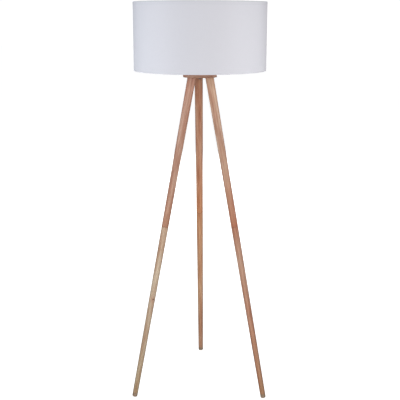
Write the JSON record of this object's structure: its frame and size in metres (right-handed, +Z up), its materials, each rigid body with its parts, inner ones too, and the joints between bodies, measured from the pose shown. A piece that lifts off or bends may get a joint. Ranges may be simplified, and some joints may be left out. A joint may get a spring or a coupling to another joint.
{
  "type": "tripod floor lamp",
  "caption": "Floor lamp with a straight drum fabric shade on a round wooden plate and slim turned wooden tripod legs that taper down to rubber tips.",
  "frame": {"origin": "on the floor, at the centre of the lamp's footprint; the lamp's own upright axis stands at x = 0, y = -0.0279", "axes": "+Z up along the lamp's axis; -Y to the front, between the two front legs; +X to the lamp's right seen from the front"},
  "size_m": [0.5322, 0.5557, 1.53],
  "materials": {
    "oak": "light pinkish wood, long straight grain, satin clear finish; each leg section and the head plate is cut from its own board",
    "rubber": "matt grey-brown rubber",
    "satin_dark_steel": "dark grey-brown satin paint",
    "zinc_steel": "zinc-plated steel",
    "brass": "bare pressed brass",
    "nickel": "nickel plate",
    "black_plastic": "moulded thermoset, low gloss",
    "white_plastic": "white moulded plastic",
    "ceramic": "unglazed steatite",
    "light_board": "white circuit board",
    "shade_fabric": "cool off-white plain-weave fabric",
    "shade_liner": "white plastic lining sheet",
    "white_wire": "white powder coat",
    "opal_diffuser": "opal diffuser, satin"
  },
  "bodies": {
    "stand": {"leg_upper_left": "oak", "leg_lower_left": "oak", "leg_upper_right": "oak", "leg_lower_right": "oak", "leg_upper_back": "oak", "leg_lower_back": "oak", "head_plate": "oak", "foot_tip_left": "rubber", "foot_tip_right": "rubber", "foot_tip_back": "rubber", "foot_pin_left": "zinc_steel", "foot_pin_right": "zinc_steel", "foot_pin_back": "zinc_steel", "leg_dowel_left": "zinc_steel", "leg_dowel_right": "zinc_steel", "leg_dowel_back": "zinc_steel", "leg_insert_left": "zinc_steel", "leg_insert_right": "zinc_steel", "leg_insert_back": "zinc_steel", "stem_tube": "zinc_steel", "stem_locknut": "zinc_steel", "leg_washer_left": "satin_dark_steel", "leg_washer_right": "satin_dark_steel", "leg_washer_back": "satin_dark_steel", "leg_bolt_left": "satin_dark_steel", "leg_bolt_right": "satin_dark_steel", "leg_bolt_back": "satin_dark_steel", "stem_collar": "satin_dark_steel", "stem_nut": "satin_dark_steel", "stem_washer": "satin_dark_steel", "cord_gland": "black_plastic", "holder_cap": "black_plastic", "holder_body": "black_plastic", "shade_rest_ring": "black_plastic", "holder_insulator": "ceramic", "switch_block": "ceramic", "holder_screw_shell": "brass", "holder_centre_contact": "brass", "holder_terminal_1": "brass", "holder_terminal_2": "brass"},
    "shade": {"shade_fabric": "shade_fabric", "shade_liner": "shade_liner", "shade_top_ring": "white_wire", "shade_bottom_ring": "white_wire", "fitter_ring": "white_wire", "fitter_arm_1": "white_wire", "fitter_arm_2": "white_wire", "fitter_arm_3": "white_wire"},
    "shade_ring": {"shade_ring_nut": "black_plastic"},
    "bulb": {"bulb_globe": "opal_diffuser", "bulb_collar": "white_plastic", "bulb_board": "light_board", "bulb_cap": "nickel", "bulb_insulator": "black_plastic", "bulb_tip_contact": "nickel"},
    "switch": {"switch_spindle": "zinc_steel", "switch_knob": "black_plastic"}
  },
  "joints": [
    {"name": "shade_turn", "type": "hinge", "parent": "stand", "child": "shade", "pos_m": [0, -0.02789, 1.3403], "axis": [0, 0, 1], "continuous": true},
    {"name": "ring_turn", "type": "hinge", "parent": "stand", "child": "shade_ring", "pos_m": [0, -0.02789, 1.345], "axis": [0, 0, 1], "continuous": true},
    {"name": "bulb_lift", "type": "slide", "parent": "stand", "child": "bulb", "axis": [0, 0, 1], "range_m": [0, 0.19]},
    {"name": "switch_turn", "type": "hinge", "parent": "stand", "child": "switch", "pos_m": [0, -0.02789, 1.31], "axis": [0, -1, 0], "continuous": true}
  ]
}
